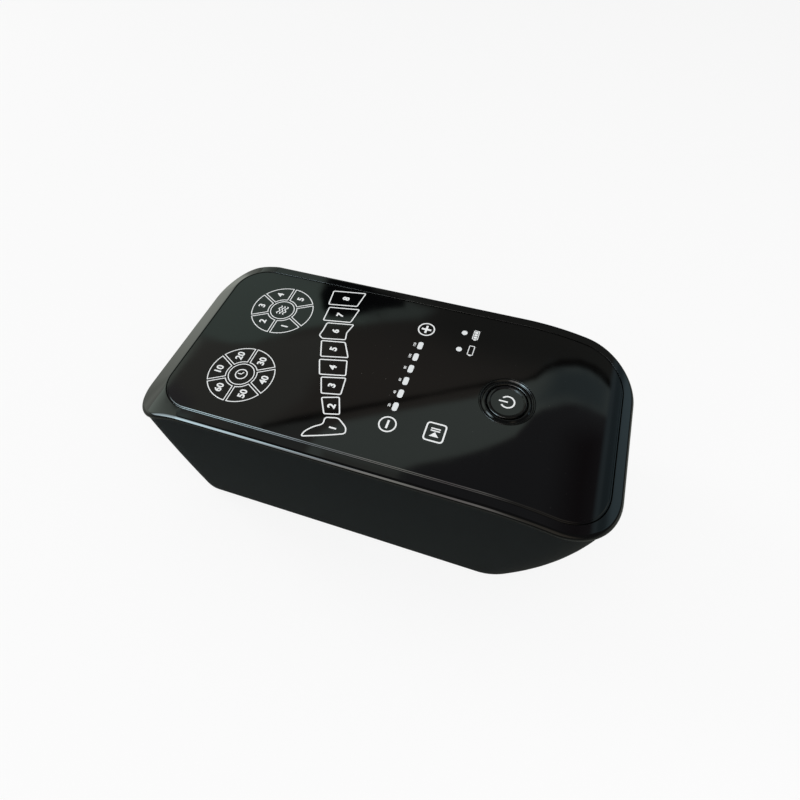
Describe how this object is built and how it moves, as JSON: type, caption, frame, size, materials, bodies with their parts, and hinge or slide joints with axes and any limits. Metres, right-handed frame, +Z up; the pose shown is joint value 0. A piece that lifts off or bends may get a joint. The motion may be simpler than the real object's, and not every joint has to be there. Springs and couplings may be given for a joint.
{
  "type": "compression therapy pump",
  "caption": "Long gloss-black air compression controller with a touch panel that rolls down at the user's end, one push button and two hose sockets.",
  "frame": {"origin": "on the ground under the middle of the housing", "axes": "+Y away from the user along the housing, +X to the user's right, +Z up"},
  "size_m": [0.12, 0.259, 0.0965],
  "materials": {
    "gloss_black": "polished black moulding",
    "housing_black": "satin black moulding",
    "light_white": "milky light guide",
    "rubber_black": "moulded rubber",
    "steel": "zinc plated",
    "bronze": "sintered bronze",
    "magnet_grey": "ferrite",
    "board_green": "solder mask",
    "part_black": "moulded component",
    "cell_blue": "shrink sleeve",
    "nylon_white": "natural nylon",
    "silicone_clear": "silicone",
    "film_amber": "polyimide film"
  },
  "bodies": {
    "housing": {"top_cover": "gloss_black", "control_panel": "gloss_black", "lower_housing": "housing_black", "power_bezel": "gloss_black", "air_socket_left": "housing_black", "air_socket_right": "housing_black", "dc_inlet": "housing_black", "pressure_light_1": "light_white", "pressure_light_2": "light_white", "pressure_light_3": "light_white", "pressure_light_4": "light_white", "pressure_light_5": "light_white", "pressure_light_6": "light_white", "battery_light_low": "light_white", "battery_light_full": "light_white", "foot_1": "rubber_black", "foot_2": "rubber_black", "foot_3": "rubber_black", "foot_4": "rubber_black", "display_board": "board_green", "display_screws": "steel", "touch_film": "film_amber", "power_switch": "part_black", "indicator_leds": "light_white", "case_screws": "steel", "battery_cradle": "nylon_white", "battery_cell_1": "cell_blue", "battery_cell_2": "cell_blue", "battery_cell_3": "cell_blue", "motor_can": "steel", "motor_end_plate": "steel", "motor_bushes": "bronze", "motor_magnets": "magnet_grey", "pump_crankcase": "nylon_white", "connecting_rod": "nylon_white", "pump_diaphragm": "rubber_black", "pump_head": "nylon_white", "pump_saddle": "rubber_black", "distributor_motor": "steel", "distributor_body": "nylon_white", "distributor_cover": "nylon_white", "distributor_bracket": "nylon_white", "outlet_manifold": "nylon_white", "outlet_tubes": "silicone_clear", "supply_tube": "silicone_clear", "sensor_tube": "silicone_clear", "main_board": "board_green", "board_screws": "steel", "board_chips": "part_black", "board_capacitors": "part_black", "buzzer": "part_black", "pressure_sensor": "part_black", "ribbon_cable": "film_amber"},
    "power_key": {"power_button": "gloss_black", "switch_plunger": "part_black"},
    "pump_drive": {"motor_rotor": "steel", "pump_eccentric": "steel"},
    "valve_drive": {"distributor_rotor": "nylon_white"}
  },
  "joints": [
    {"name": "power_press", "type": "slide", "parent": "housing", "child": "power_key", "axis": [0, 0, -1], "range_m": [0, 0.0006], "stiffness_N_per_m": 2500},
    {"name": "pump_spin", "type": "hinge", "parent": "housing", "child": "pump_drive", "pos_m": [-0.028, -0.0043, 0.031], "axis": [0, 1, 0], "continuous": true},
    {"name": "valve_spin", "type": "hinge", "parent": "housing", "child": "valve_drive", "pos_m": [0, 0.09, 0.048], "axis": [0, 1, 0], "continuous": true}
  ]
}
